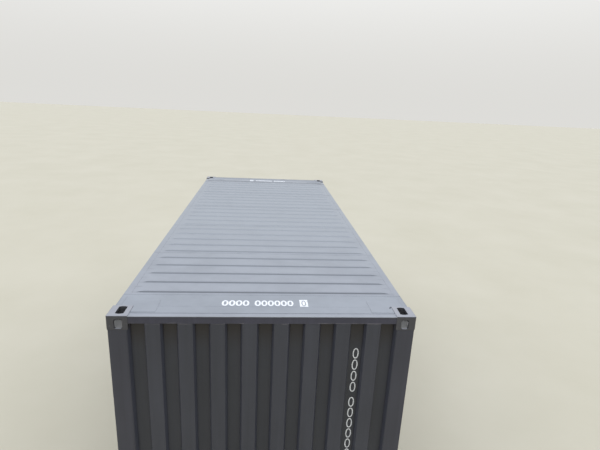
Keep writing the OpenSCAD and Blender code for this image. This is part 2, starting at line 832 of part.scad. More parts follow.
// Rubber seal that fills the gap round both leaves
module door_seal() {
    color("#1c1c1c") difference() {
        block([-doorway_x, leaf_back, doorway_low], [doorway_x, leaf_back + seal_d, doorway_high]);
        for (side = [-1, 1])
            on_side(side) block([leaf_in_x, leaf_back - cut, leaf_low], [leaf_out_x, door_y, leaf_high]);
    }
}

// Louvred ventilators in the end recesses of the side walls
module ventilators() {
    y = cast_y - side_end - side_slope - side_inner / 2;
    x = side_x - side_depth;
    top = rail_under - vent_drop;
    color("#3a3d40")
        for (side = [-1, 1], end = [-1, 1])
            on_side(side) translate([x, end * y, top - vent_h]) difference() {
                along_y(-vent_w / 2, vent_w / 2)
                    polygon([[0, 0], [vent_d / 2, 0], [vent_d, vent_d / 2], [vent_d, vent_h - vent_d],
                             [vent_d / 3, vent_h], [0, vent_h]]);
                for (k = [1:vent_slots])
                    translate([0, 0, vent_h * k / (vent_slots + 1)])
                        block([vent_d / 2, vent_rim - vent_w / 2, -vent_d / 2],
                              [vent_d + cut, vent_w / 2 - vent_rim, 0]);
            }
}

casting(-1, -1, true);  // casting_top_front_left
casting(1, -1, true);  // casting_top_front_right
casting(-1, 1, true);  // casting_top_rear_left
casting(1, 1, true);  // casting_top_rear_right
casting(-1, -1, false);  // casting_bottom_front_left
casting(1, -1, false);  // casting_bottom_front_right
casting(-1, 1, false);  // casting_bottom_rear_left
casting(1, 1, false);  // casting_bottom_rear_right
front_post(-1);  // front_post_left
front_post(1);  // front_post_right
rear_post(-1);  // rear_post_left
rear_post(1);  // rear_post_right
front_header();
door_header();
front_sill();
door_sill();
top_side_rail(-1);  // top_rail_left
top_side_rail(1);  // top_rail_right
bottom_side_rail(-1);  // bottom_rail_left
bottom_side_rail(1);  // bottom_rail_right
cross_members();
fork_pockets();
floor_boards();
front_wall();
side_wall(-1);  // side_wall_left
side_wall(1);  // side_wall_right
roof_panel(1);  // roof_panel_1
roof_panel(2);  // roof_panel_2
roof_panel(3);  // roof_panel_3
roof_panel(4);  // roof_panel_4
roof_panel(5);  // roof_panel_5
roof_plate(inset + header_tube);  // roof_plate_front
mirror([0, 1, 0]) roof_plate(fit_l);  // roof_plate_rear
corner_plates();
door_frame(-1);  // door_frame_left
door_frame(1);  // door_frame_right
door_panel(-1);  // door_panel_left
door_panel(1);  // door_panel_right
door_hinges();
lock_rods();
rod_brackets();
cam_keepers();
door_handles();
door_seal();
ventilators();
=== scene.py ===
import math

import bpy
from mathutils import Matrix, Vector


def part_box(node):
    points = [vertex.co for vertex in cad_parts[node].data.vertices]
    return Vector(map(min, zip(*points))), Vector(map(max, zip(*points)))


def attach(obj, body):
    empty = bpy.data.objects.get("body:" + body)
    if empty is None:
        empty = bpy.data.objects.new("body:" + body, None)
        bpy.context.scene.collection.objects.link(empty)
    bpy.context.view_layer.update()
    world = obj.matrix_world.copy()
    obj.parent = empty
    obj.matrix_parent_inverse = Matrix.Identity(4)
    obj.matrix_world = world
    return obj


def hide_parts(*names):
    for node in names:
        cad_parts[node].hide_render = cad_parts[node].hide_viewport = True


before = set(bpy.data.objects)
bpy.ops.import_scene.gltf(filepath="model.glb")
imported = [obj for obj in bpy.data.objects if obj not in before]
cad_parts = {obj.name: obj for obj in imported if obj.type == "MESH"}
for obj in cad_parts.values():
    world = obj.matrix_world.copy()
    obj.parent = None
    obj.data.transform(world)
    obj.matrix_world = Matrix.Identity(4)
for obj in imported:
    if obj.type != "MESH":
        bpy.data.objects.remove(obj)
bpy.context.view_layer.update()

# Camera: above and in front of the blind end, looking down along the roof through
# the wide end of a compact camera's zoom. The bottom of the front end is cut off.
bpy.ops.object.camera_add()
camera = bpy.context.object
camera.name = "photo_camera"
stand_point = (-0.0435, -6.0446, 4.2333)
turn_left, tilt_down, roll = -0.0916, -0.2849, -0.0484
camera.matrix_world = (Matrix.Translation(stand_point)
                       @ Matrix.Rotation(turn_left, 4, "Z") @ Matrix.Rotation(tilt_down, 4, "X")
                       @ Matrix.Rotation(roll, 4, "Y") @ Matrix.Rotation(math.pi / 2, 4, "X"))
camera.data.sensor_width = 36
camera.data.lens = 25.6
camera.data.clip_end = 400
bpy.context.scene.camera = camera
bpy.context.scene.view_settings.view_transform = "Standard"

# Studio: a pale floor of ground concrete under an overcast dome, bright overhead and
# dim on the photographer's side, so that the blind end stands in its own shade.


def linear(code):
    """An sRGB hex colour as the linear colour that a shader takes."""
    parts = [int(code[i:i + 2], 16) / 255 for i in (1, 3, 5)]
    return tuple(p / 12.92 if p <= 0.04045 else ((p + 0.055) / 1.055) ** 2.4 for p in parts) + (1,)


def add(tree, kind, settings=None, links=None):
    """A shader node with its settings and the sockets that feed it."""
    node = tree.nodes.new("ShaderNode" + kind)
    for key, value in (settings or {}).items():
        if isinstance(key, str) and hasattr(node, key):
            setattr(node, key, value)
        else:
            node.inputs[key].default_value = value
    for key, source in (links or {}).items():
        tree.links.new(source, node.inputs[key])
    return node


def new_material(name):
    """An empty node material and its tree."""
    material = bpy.data.materials.new(name)
    material.use_nodes = True
    material.node_tree.nodes.clear()
    return material, material.node_tree


world = bpy.data.worlds.new("overcast_dome")
world.use_nodes = True
bpy.context.scene.world = world
sky = world.node_tree
sky.nodes.clear()
sky_way = add(sky, "TexCoord")
sky_parts = add(sky, "SeparateXYZ", links={0: sky_way.outputs["Generated"]})
sky_height = add(sky, "MapRange", {"interpolation_type": "SMOOTHSTEP", "From Min": 0.0,
                                   "From Max": 0.9, "To Min": 0.0, "To Max": 1.0},
                 {"Value": sky_parts.outputs["Z"]})
sky_behind = add(sky, "MapRange", {"interpolation_type": "SMOOTHSTEP", "From Min": -0.9,
                                   "From Max": 0.5, "To Min": 0.27, "To Max": 0.74},
                 {"Value": sky_parts.outputs["Y"]})
sky_level = add(sky, "Mix", {"data_type": "FLOAT", "B": 1.75},
                {"Factor": sky_height.outputs[0], "A": sky_behind.outputs[0]})
sky_colour = add(sky, "Mix", {"data_type": "RGBA", 6: linear("#fdfcf8"), 7: linear("#eef4ff")},
                 {"Factor": sky_height.outputs[0]})
sky_shader = add(sky, "Background",
                 links={"Color": sky_colour.outputs[2], "Strength": sky_level.outputs[0]})
add(sky, "OutputWorld", links={"Surface": sky_shader.outputs[0]})

# Ground concrete is matt and nearly even: blotches some metres wide, grit of about 15 mm
bpy.ops.object.select_all(action="DESELECT")
bpy.ops.mesh.primitive_grid_add(x_subdivisions=12, y_subdivisions=12, size=240)
floor = bpy.context.object
floor.name = "studio_floor"
concrete, tree = new_material("ground_concrete")
place = add(tree, "TexCoord").outputs["Object"]
blotch = add(tree, "TexNoise", {"Scale": 0.45, "Detail": 5.0, "Roughness": 0.6}, {"Vector": place})
shade = add(tree, "Mix", {"data_type": "RGBA", 6: linear("#bab49f"), 7: linear("#c8c2b0")},
            {"Factor": blotch.outputs["Fac"]})
grain = add(tree, "TexNoise", {"Scale": 60.0, "Detail": 3.0}, {"Vector": place})
rough_top = add(tree, "Bump", {"Strength": 0.15, "Distance": 0.002},
                {"Height": grain.outputs["Fac"]})
shader = add(tree, "BsdfPrincipled", {"Roughness": 0.8},
             {"Base Color": shade.outputs[2], "Normal": rough_top.outputs[0]})
add(tree, "OutputMaterial", links={"Surface": shader.outputs[0]})
floor.data.materials.append(concrete)

# Corner castings: eight hollow steel castings with a twistlock slot and two lashing
# holes each. They are sand cast, ground at the edges and sprayed with the frame.


def painted_steel(name, coat="#404248", film="#96999f", film_from_facing=0.78, orange_peel=0.35, dents=0.0,
                  scuffs=0.0, cast=0.0, ripple=0.0, shade_under_film=None, marks_and_painted_shading=None):
    """Two-pack satin paint on steel. Dust and chalked paint lie on what faces up, and a pale film
    set to start below level faces also covers side faces as painted light. Painted shade under the
    film, and marks with painted light and shade over it, come from functions of the tree, the
    place, the facing and the colour."""
    material, tree = new_material(name)
    place = add(tree, "TexCoord").outputs["Object"]
    facing = add(tree, "SeparateXYZ", links={0: add(tree, "NewGeometry").outputs["Normal"]})
    # Spray passes and rain leave the colour slightly uneven, in upright streaks 40 mm wide
    patch = add(tree, "TexNoise", {"Scale": 1.7, "Detail": 4.0, "Roughness": 0.55},
                {"Vector": place})
    drawn = add(tree, "Mapping", {"Scale": (26.0, 26.0, 0.9)}, {"Vector": place})
    streak = add(tree, "TexNoise", {"Scale": 1.0, "Detail": 3.0, "Roughness": 0.6},
                 {"Vector": drawn.outputs[0]})
    uneven = add(tree, "Math", {"operation": "ADD"},
                 {0: patch.outputs["Fac"], 1: streak.outputs["Fac"]})
    tone = add(tree, "MapRange", {"From Min": 0.7, "From Max": 1.3, "To Min": 0.86, "To Max": 1.14},
               {"Value": uneven.outputs[0]})
    clean = add(tree, "Mix", {"data_type": "RGBA", "blend_type": "MULTIPLY", 0: 1.0,
                              6: linear(coat)}, {7: tone.outputs[0]})
    # Painted shade, where given, goes under the film
    if shade_under_film:
        clean = shade_under_film(tree, place, facing, clean)
    # Fine pale dust lies where the surface faces up, and slides off the steeper slopes. Where the
    # film is set to start below level faces, it also covers side faces as painted light.
    film_by_facing = add(tree, "MapRange", {"interpolation_type": "SMOOTHSTEP", "From Min": film_from_facing,
                                   "From Max": 0.97, "To Min": 0.0, "To Max": 1.0},
                {"Value": facing.outputs["Z"]})
    wash = add(tree, "TexNoise", {"Scale": 2.6, "Detail": 6.0, "Roughness": 0.62},
               {"Vector": place})
    cover = add(tree, "MapRange", {"From Min": 0.3, "From Max": 0.7, "To Min": 0.8, "To Max": 1.04},
                {"Value": wash.outputs["Fac"]})
    dust_and_painted_light = add(tree, "Math", {"operation": "MULTIPLY"}, {0: film_by_facing.outputs[0], 1: cover.outputs[0]})
    colour = add(tree, "Mix", {"data_type": "RGBA", 7: linear(film)},
                 {0: dust_and_painted_light.outputs[0], 6: clean.outputs[2]})
    # Marks, and painted light and shade, where given, go over the film
    if marks_and_painted_shading:
        colour = marks_and_painted_shading(tree, place, facing, colour)
    if scuffs:
        # Slings and spreaders rub the paint through to dull grey primer, 25 mm at a time
        mark = add(tree, "TexNoise", {"Scale": 38.0, "Detail": 4.0, "Roughness": 0.7,
                                      "Distortion": 0.6}, {"Vector": place})
        worn = add(tree, "MapRange", {"From Min": 0.70 - 0.06 * scuffs,
                                      "From Max": 0.76 - 0.06 * scuffs,
                                      "To Min": 0.0, "To Max": 0.75},
                   {"Value": mark.outputs["Fac"]})
        colour = add(tree, "Mix", {"data_type": "RGBA", 7: linear("#7d8186")},
                     {0: worn.outputs[0], 6: colour.outputs[2]})
    # Satin paint has a low sheen, and is matt where dust lies on it
    gloss = add(tree, "MapRange", {"From Min": 0.0, "From Max": 1.0, "To Min": 0.44,
                                   "To Max": 0.62}, {"Value": dust_and_painted_light.outputs[0]})
    # Orange peel is 2 mm across on the real paint, drawn 9 mm wide here so that it shows
    peel = add(tree, "TexNoise", {"Scale": 110.0, "Detail": 2.0}, {"Vector": place})
    skin = add(tree, "Bump", {"Strength": orange_peel, "Distance": 0.0006},
               {"Height": peel.outputs["Fac"]})
    if dents:
        # Rolled sheet ripples by a few millimetres between its folds and welds
        wave = add(tree, "TexNoise", {"Scale": 2.2, "Detail": 1.5}, {"Vector": place})
        skin = add(tree, "Bump", {"Strength": 1.0, "Distance": dents},
                   {"Height": wave.outputs["Fac"], "Normal": skin.outputs[0]})
    if cast:
        # The sand of the mould leaves pits about 6 mm across
        pits = add(tree, "TexNoise", {"Scale": 160.0, "Detail": 3.0, "Roughness": 0.65},
                   {"Vector": place})
        skin = add(tree, "Bump", {"Strength": cast, "Distance": 0.0012},
                   {"Height": pits.outputs["Fac"], "Normal": skin.outputs[0]})
    if ripple:
        # The welding gun leaves a ripple every 2 mm, whichever way the bead runs
        rings = add(tree, "TexNoise", {"Scale": 500.0, "Detail": 1.0}, {"Vector": place})
        skin = add(tree, "Bump", {"Strength": ripple, "Distance": 0.0008},
                   {"Height": rings.outputs["Fac"], "Normal": skin.outputs[0]})
    shader = add(tree, "BsdfPrincipled", {"IOR": 1.5},
                 {"Base Color": colour.outputs[2], "Roughness": gloss.outputs[0],
                  "Normal": skin.outputs[0]})
    add(tree, "OutputMaterial", links={"Surface": shader.outputs[0]})
    return material


def merged_copy(name, node, cuts=()):
    """A merged copy of a CAD node's mesh in a new object, active and selected. Cuts go through the
    middle of holes, as a point and an axis each, so that no face runs all the way round a hole."""
    bpy.ops.object.select_all(action="DESELECT")
    piece = bpy.data.objects.new(name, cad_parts[node].data.copy())
    bpy.context.scene.collection.objects.link(piece)
    piece.select_set(True)
    bpy.context.view_layer.objects.active = piece
    bpy.context.tool_settings.mesh_select_mode = (False, True, False)
    bpy.ops.object.mode_set(mode="EDIT")
    bpy.ops.mesh.select_all(action="SELECT")
    bpy.ops.mesh.remove_doubles(threshold=0.00002)
    for point, axis in cuts:
        bpy.ops.mesh.select_all(action="SELECT")
        bpy.ops.mesh.bisect(plane_co=point, plane_no=axis)
        bpy.ops.mesh.mark_seam()
    bpy.ops.mesh.select_all(action="SELECT")
    bpy.ops.mesh.dissolve_limited(angle_limit=math.radians(0.5), delimit={"SEAM"})
    bpy.ops.object.mode_set(mode="OBJECT")
    bpy.ops.mesh.customdata_custom_splitnormals_clear()
    return bpy.context.object


def finish_piece(piece, finish):
    """Smooth bends and curves, a material and the body that the piece rides on."""
    bpy.ops.object.select_all(action="DESELECT")
    piece.select_set(True)
    bpy.context.view_layer.objects.active = piece
    bpy.ops.object.shade_smooth_by_angle(angle=math.radians(35))
    level_faces = piece.modifiers.new("level_faces", "WEIGHTED_NORMAL")
    level_faces.keep_sharp = True
    bpy.ops.object.modifier_apply(modifier=level_faces.name)
    piece.data.materials.clear()
    piece.data.materials.append(finish)
    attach(piece, "root")


def softened(node, finish, edge=0.0, steps=2, cuts=(), outside=None):
    """A merged copy of a CAD node with rounded edges and smooth bends, which stands for it. Where
    a test of places is given, only the edges that pass it at both ends are rounded."""
    piece = merged_copy(node + "_finished", node, cuts)
    if edge:
        bpy.ops.object.mode_set(mode="EDIT")
        bpy.ops.mesh.select_all(action="DESELECT")
        bpy.ops.mesh.edges_select_sharp(sharpness=math.radians(40))
        bpy.ops.object.mode_set(mode="OBJECT")
        if outside:
            mesh = piece.data
            for item in (*mesh.vertices, *mesh.polygons):
                item.select = False
            for line in mesh.edges:
                line.select = line.select and all(outside(mesh.vertices[i].co)
                                                  for i in line.vertices)
        bpy.ops.object.mode_set(mode="EDIT")
        bpy.ops.mesh.bevel(offset=edge, segments=steps, affect="EDGES", clamp_overlap=False)
        bpy.ops.object.mode_set(mode="OBJECT")
    finish_piece(piece, finish)
    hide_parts(node)
    return piece


cast_paint = painted_steel("satin_paint_on_cast_steel", coat="#444448", film="#999a9f",
                           scuffs=1.0, cast=0.5)

# Inside, the castings keep the grey zinc primer that they were dipped in, matt and rough with sand.
# The primer is drawn dark on the inner walls as painted shade, and the pocket's floor is drawn pale
# as a painted pool of light that falls in through the slot.
primer, tree = new_material("dipped_zinc_primer")
place = add(tree, "TexCoord").outputs["Object"]
runs = add(tree, "TexNoise", {"Scale": 22.0, "Detail": 5.0, "Roughness": 0.6}, {"Vector": place})
grey = add(tree, "Mix", {"data_type": "RGBA", 6: linear("#4c4d50"), 7: linear("#626366")},
           {0: runs.outputs["Fac"]})
facing = add(tree, "SeparateXYZ", links={0: add(tree, "NewGeometry").outputs["Normal"]})
# Painted light: a pale pool on the pocket's floor, under the slot
floor_light = add(tree, "MapRange", {"From Min": 0.6, "From Max": 0.95, "To Min": 0.0, "To Max": 0.9},
               {"Value": facing.outputs["Z"]})
painted_floor_light = add(tree, "Mix", {"data_type": "RGBA", 7: linear("#a8a6a1")},
           {0: floor_light.outputs[0], 6: grey.outputs[2]})
pits = add(tree, "TexNoise", {"Scale": 160.0, "Detail": 3.0}, {"Vector": place})
skin = add(tree, "Bump", {"Strength": 0.5, "Distance": 0.0012}, {"Height": pits.outputs["Fac"]})
shader = add(tree, "BsdfPrincipled", {"Roughness": 0.75},
             {"Base Color": painted_floor_light.outputs[2], "Normal": skin.outputs[0]})
add(tree, "OutputMaterial", links={"Surface": shader.outputs[0]})

# The middle of each hole, inwards from the three outer faces along x, y and z
holes_in = (0.089, 0.1015, 0.07)
# The outer faces are painted down to this depth, and the three welded ones down to less
rim, welded_rim = 0.016, 0.016 / 3
# Points closer than this to a face or an edge lie on it
touch = 0.001
for level in ("top", "bottom"):
    for end in ("front", "rear"):
        for side in ("left", "right"):
            node = f"casting_{level}_{end}_{side}"
            low, high = (Vector(corner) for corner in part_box(node))
            outward = Vector((1 if side == "right" else -1, 1 if end == "rear" else -1,
                              1 if level == "top" else -1))
            middle = Vector([high[i] - holes_in[i] if outward[i] > 0 else low[i] + holes_in[i]
                             for i in range(3)])
            piece = softened(node, cast_paint, edge=0.0025, steps=3,
                             cuts=[(middle, axis) for axis in ((1, 0, 0), (0, 1, 0), (0, 0, 1))],
                             outside=lambda p: min(min(p[i] - low[i], high[i] - p[i])
                                                   for i in range(3)) < touch)
            piece.data.materials.append(primer)
            for face in piece.data.polygons:
                depth = [high[i] - face.center[i] if outward[i] > 0 else face.center[i] - low[i]
                         for i in range(3)]
                behind = [high[i] - low[i] - depth[i] for i in range(3)]
                if min(depth) > rim and min(behind) > welded_rim:
                    face.material_index = 1

# Posts, headers, sills and rails: folded plate and square tube, welded into a frame
# between the castings and sprayed in the same satin paint.
header_front, header_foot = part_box("front_header")[0][1:]


def hook_smudges(tree, place, facing, colour):
    """Pale slanted smudges some 50 mm long, which hooks have rubbed along the foot of the front
    header, where it meets the wall."""
    at = add(tree, "SeparateXYZ", links={0: place})
    above = add(tree, "Math", {"operation": "SUBTRACT", 1: header_foot}, {0: at.outputs["Z"]})
    away = add(tree, "Math", {"operation": "ABSOLUTE"}, {0: above.outputs[0]})
    near = add(tree, "MapRange", {"interpolation_type": "SMOOTHSTEP", "From Min": 0.003,
                                  "From Max": 0.014, "To Min": 0.5, "To Max": 0.0},
               {"Value": away.outputs[0]})
    front = add(tree, "Math", {"operation": "LESS_THAN", 1: header_front + 0.006},
                {0: at.outputs["Y"]})
    drag = add(tree, "Mapping", {"Rotation": (0.0, 0.25, 0.0), "Scale": (9.0, 9.0, 70.0)},
               {"Vector": place})
    smear = add(tree, "TexNoise", {"Scale": 1.0, "Detail": 4.0, "Roughness": 0.7},
                {"Vector": drag.outputs[0]})
    streaky = add(tree, "MapRange", {"From Min": 0.54, "From Max": 0.64, "To Min": 0.0,
                                     "To Max": 1.0}, {"Value": smear.outputs["Fac"]})
    here = add(tree, "Math", {"operation": "MULTIPLY"}, {0: near.outputs[0], 1: front.outputs[0]})
    share = add(tree, "Math", {"operation": "MULTIPLY"},
                {0: here.outputs[0], 1: streaky.outputs[0]})
    return add(tree, "Mix", {"data_type": "RGBA", 7: linear("#77747a")},
               {0: share.outputs[0], 6: colour.outputs[2]})


plate_paint = painted_steel("satin_paint_on_folded_plate", coat="#3a3b45", orange_peel=0.4,
                            dents=0.002)
tube_paint = painted_steel("satin_paint_on_square_tube", coat="#3c3c4a", orange_peel=0.4,
                           dents=0.001, marks_and_painted_shading=hook_smudges)
for node in ("front_header", "door_header"):
    softened(node, tube_paint, edge=0.0015)
for node in ("front_post_left", "front_post_right", "rear_post_left", "rear_post_right",
             "front_sill", "door_sill", "top_rail_left", "top_rail_right"):
    softened(node, plate_paint, edge=0.0015)
for node in ("bottom_rail_left", "bottom_rail_right"):
    softened(node, plate_paint)

# Front wall and side walls: rolled sheet pressed into upright corrugations. The sheet
# ripples a little between the folds, and rain draws faint streaks down it.
sheet_t = 0.002
wall_low, wall_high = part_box("front_wall")
outer_y, inner_y = wall_low[1], wall_high[1] - sheet_t
wall_top, shadow_h = wall_high[2], 0.3


def painted_recess_light_and_shade(tree, place, facing, clean):
    """Painted light and shade on the front wall: the slanted sides are drawn lighter as painted
    light, its recesses darker as painted shade, and dark brown at their top, under the header, as a
    painted shadow."""
    at = add(tree, "SeparateXYZ", links={0: place})
    front = add(tree, "Math", {"operation": "LESS_THAN", 1: inner_y + 0.01}, {0: at.outputs["Y"]})
    # Painted light: the slanted sides of the recesses are drawn lighter
    sideways = add(tree, "Math", {"operation": "ABSOLUTE"}, {0: facing.outputs["X"]})
    slanted = add(tree, "MapRange", {"From Min": 0.3, "From Max": 0.6, "To Min": 0.0,
                                     "To Max": 0.75}, {"Value": sideways.outputs[0]})
    lit_slant = add(tree, "Math", {"operation": "MULTIPLY"},
                {0: slanted.outputs[0], 1: front.outputs[0]})
    clean = add(tree, "Mix", {"data_type": "RGBA", 7: linear("#454752")},
                {0: lit_slant.outputs[0], 6: clean.outputs[2]})
    # Painted shade: the recesses are drawn darker the deeper they lie
    sunk = add(tree, "MapRange", {"interpolation_type": "SMOOTHSTEP",
                                  "From Min": (outer_y + 2 * inner_y) / 3, "From Max": inner_y,
                                  "To Min": 0.0, "To Max": 1.0}, {"Value": at.outputs["Y"]})
    deep = add(tree, "Math", {"operation": "MULTIPLY"}, {0: sunk.outputs[0], 1: front.outputs[0]})
    clean = add(tree, "Mix", {"data_type": "RGBA", "blend_type": "MULTIPLY",
                              7: (0.74, 0.75, 0.74, 1)},
                {0: deep.outputs[0], 6: clean.outputs[2]})
    # Painted shadow: dark brown at the top of the recesses, under the header
    high = add(tree, "MapRange", {"interpolation_type": "SMOOTHSTEP",
                                  "From Min": wall_top - shadow_h, "From Max": wall_top,
                                  "To Min": 0.0, "To Max": 0.9}, {"Value": at.outputs["Z"]})
    shadowed = add(tree, "Math", {"operation": "MULTIPLY"},
                    {0: deep.outputs[0], 1: high.outputs[0]})
    return add(tree, "Mix", {"data_type": "RGBA", 7: linear("#241e1c")},
               {0: shadowed.outputs[0], 6: clean.outputs[2]})


wall_paint = painted_steel("satin_paint_on_corrugated_sheet", coat="#393b44", orange_peel=0.35,
                           dents=0.004, shade_under_film=painted_recess_light_and_shade, marks_and_painted_shading=hook_smudges)
for node in ("front_wall", "side_wall_left", "side_wall_right"):
    softened(node, wall_paint)

# Roof: five panels of thin sheet with stamped ridges, thicker plates beside the end
# headers and protection plates at the corners. Dust and chalking turn it pale.
panels = 5
# The ridges as the part has them: pitch, width at the foot, half their length, and the
# flat before the first one
ridge_pitch, ridge_base, ridge_half_w, end_flat = 0.209, 0.111, 1.1, 0.049
first_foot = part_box("roof_panel_1")[0][1] + end_flat
shade_line_w = 0.013


def painted_ridge_light_and_shade(tree, place, facing, colour):
    """Painted light and shade on the ridges: pale slopes as painted light, and a dark line of
    painted shade along each foot. The shade lines fade out towards the doors, and the roof is drawn
    paler towards them."""
    at = add(tree, "SeparateXYZ", links={0: place})
    lines = None
    # A dark line of painted shade runs along the foot of each ridge, on both sides
    for foot, way in ((first_foot, 1), (first_foot + ridge_base, -1)):
        moved = add(tree, "Math", {"operation": "SUBTRACT", 1: foot - ridge_pitch / 2},
                    {0: at.outputs["Y"]})
        along = add(tree, "Math", {"operation": "FLOORED_MODULO", 1: ridge_pitch},
                    {0: moved.outputs[0]})
        up_slope = add(tree, "Math", {"operation": "MULTIPLY_ADD", 1: way,
                                      2: -way * ridge_pitch / 2}, {0: along.outputs[0]})
        rising = add(tree, "MapRange", {"interpolation_type": "SMOOTHSTEP", "From Min": -shade_line_w,
                                        "From Max": -shade_line_w / 4, "To Min": 0.0, "To Max": 1.0},
                     {"Value": up_slope.outputs[0]})
        ending = add(tree, "MapRange", {"interpolation_type": "SMOOTHSTEP", "From Min": shade_line_w / 5,
                                        "From Max": shade_line_w * 0.6, "To Min": 1.0, "To Max": 0.0},
                     {"Value": up_slope.outputs[0]})
        line = add(tree, "Math", {"operation": "MULTIPLY"},
                   {0: rising.outputs[0], 1: ending.outputs[0]})
        lines = add(tree, "Math", {"operation": "MAXIMUM"},
                    {0: line.outputs[0], 1: (lines or line).outputs[0]})
    aside = add(tree, "Math", {"operation": "ABSOLUTE"}, {0: at.outputs["X"]})
    within = add(tree, "MapRange", {"From Min": ridge_half_w - 0.02,
                                    "From Max": ridge_half_w + 0.08, "To Min": 1.0,
                                    "To Max": 0.0}, {"Value": aside.outputs[0]})
    # The painted shade lines fade out towards the doors
    thinner = add(tree, "MapRange", {"From Min": first_foot,
                                     "From Max": first_foot + 8 * ridge_pitch,
                                     "To Min": 0.95, "To Max": 0.1}, {"Value": at.outputs["Y"]})
    left = add(tree, "Math", {"operation": "MULTIPLY"}, {0: lines.outputs[0], 1: within.outputs[0]})
    shade_lines = add(tree, "Math", {"operation": "MULTIPLY"}, {0: left.outputs[0], 1: thinner.outputs[0]})
    # The roof is drawn paler towards the doors
    farther = add(tree, "MapRange", {"From Min": first_foot,
                                     "From Max": first_foot + 10 * ridge_pitch,
                                     "To Min": 0.0, "To Max": 0.6}, {"Value": at.outputs["Y"]})
    colour = add(tree, "Mix", {"data_type": "RGBA", 7: linear("#989c9f")},
                 {0: farther.outputs[0], 6: colour.outputs[2]})
    # Painted light: the ridge slopes are drawn pale
    sloped = add(tree, "MapRange", {"From Min": 0.7, "From Max": 0.9, "To Min": 1.0, "To Max": 0.0},
                 {"Value": facing.outputs["Z"]})
    lit_slope_colour = add(tree, "Mix", {"data_type": "RGBA", 6: linear("#9fa3a9"), 7: linear("#b0b4b8")},
                 {0: farther.outputs[0]})
    colour = add(tree, "Mix", {"data_type": "RGBA"},
                 {0: sloped.outputs[0], 6: colour.outputs[2], 7: lit_slope_colour.outputs[2]})
    return add(tree, "Mix", {"data_type": "RGBA", 7: linear("#6e7176")},
               {0: shade_lines.outputs[0], 6: colour.outputs[2]})


def dark_mark(tree, place, facing, colour):
    """A dark slanted mark 45 mm long beside the right near casting."""
    plate_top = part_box("corner_plates")[1][2]
    spot = add(tree, "Mapping", {"vector_type": "TEXTURE", "Location": (1.047, -2.862, plate_top),
                                 "Rotation": (0.0, 0.0, 1.0), "Scale": (0.025, 0.008, 1.0)},
               {"Vector": place})
    reach = add(tree, "VectorMath", {"operation": "LENGTH"}, {0: spot.outputs[0]})
    mark_share = add(tree, "MapRange", {"interpolation_type": "SMOOTHSTEP", "From Min": 0.7,
                                  "From Max": 1.1, "To Min": 0.9, "To Max": 0.0},
               {"Value": reach.outputs["Value"]})
    return add(tree, "Mix", {"data_type": "RGBA", 7: linear("#363a3f")},
               {0: mark_share.outputs[0], 6: colour.outputs[2]})


# The pale film also covers the ridge slopes, as painted light on their shaded sides
roof_paint = painted_steel("chalked_paint_on_stamped_roof", film_from_facing=-0.25, orange_peel=0.3,
                           dents=0.006, marks_and_painted_shading=painted_ridge_light_and_shade)
for number in range(1, panels + 1):
    softened(f"roof_panel_{number}", roof_paint)
for node, plain_name, film, marks in (
        ("roof_plate_front", "front_plate", "#93979d", None),
        ("roof_plate_rear", "rear_plate", "#9c9fa3", None),
        ("corner_plates", "corner_plates", "#93979d", dark_mark)):
    # The pale film reaches down over the plates' edges as painted light, so that their shaded edges
    # do not show dark
    softened(node, painted_steel("chalked_paint_on_" + plain_name, film=film, film_from_facing=-0.4,
                                 orange_peel=0.3, dents=0.004, marks_and_painted_shading=marks),
             edge=0.001)

# Welds: fillets and ground butts about 5 mm wide wherever the sheets and plates meet the
# frame. Each bead follows the rim of one side of a sheet, and is painted with it.
weld_paint = painted_steel("paint_over_weld_beads", coat="#3b3c46", orange_peel=0.3, ripple=0.8,
                           marks_and_painted_shading=hook_smudges)
# The pale film covers the beads' flanks too, as painted light, so that the beads do not show as
# dark lines
roof_weld_paint = painted_steel("chalked_paint_over_weld_beads", film="#a0a4aa", film_from_facing=-0.4,
                                orange_peel=0.3, ripple=0.8)
longest_run = 0.06
hand = bpy.data.textures.new("uneven_hand", "CLOUDS")
hand.noise_scale = 0.02


def weld(name, node, faces, size, finish, lies=None):
    """A bead along the rim of the chosen faces of a CAD node, where its edges lie in a place."""
    piece = merged_copy(name, node)
    mesh = piece.data
    uses = {}
    for face in mesh.polygons:
        if faces(face.normal):
            for key in face.edge_keys:
                uses[key] = uses.get(key, 0) + 1
    for item in (*mesh.vertices, *mesh.polygons):
        item.select = False
    for edge in mesh.edges:
        ends = [mesh.vertices[i].co for i in edge.vertices]
        edge.select = uses.get(edge.key) != 1 or bool(lies) and not all(map(lies, ends))
    bpy.context.tool_settings.mesh_select_mode = (False, True, False)
    bpy.ops.object.mode_set(mode="EDIT")
    bpy.ops.mesh.delete(type="EDGE")
    bpy.ops.mesh.select_all(action="SELECT")
    bpy.ops.mesh.delete_loose(use_verts=True, use_edges=False, use_faces=False)
    bpy.ops.mesh.dissolve_limited(angle_limit=math.radians(0.5))
    bpy.ops.object.mode_set(mode="OBJECT")
    # Long runs are divided, so that the hand-laid bead can wander a little
    while True:
        long_edges = [edge for edge in mesh.edges
                      if (mesh.vertices[edge.vertices[0]].co
                          - mesh.vertices[edge.vertices[1]].co).length > longest_run]
        if not long_edges:
            break
        for item in (*mesh.vertices, *mesh.edges):
            item.select = False
        for edge in long_edges:
            edge.select = True
        bpy.ops.object.mode_set(mode="EDIT")
        bpy.ops.mesh.subdivide(number_cuts=1)
        bpy.ops.object.mode_set(mode="OBJECT")
    bpy.ops.object.convert(target="CURVE")
    piece = bpy.context.object
    piece.data.bevel_depth = size
    piece.data.bevel_resolution = 1
    piece.data.use_fill_caps = True
    bpy.ops.object.convert(target="MESH")
    wander = bpy.context.object.modifiers.new("uneven_hand", "DISPLACE")
    wander.texture = hand
    wander.strength = size / 2
    bpy.ops.object.modifier_apply(modifier=wander.name)
    finish_piece(bpy.context.object, finish)


def up(normal):
    return normal.z > 0.3


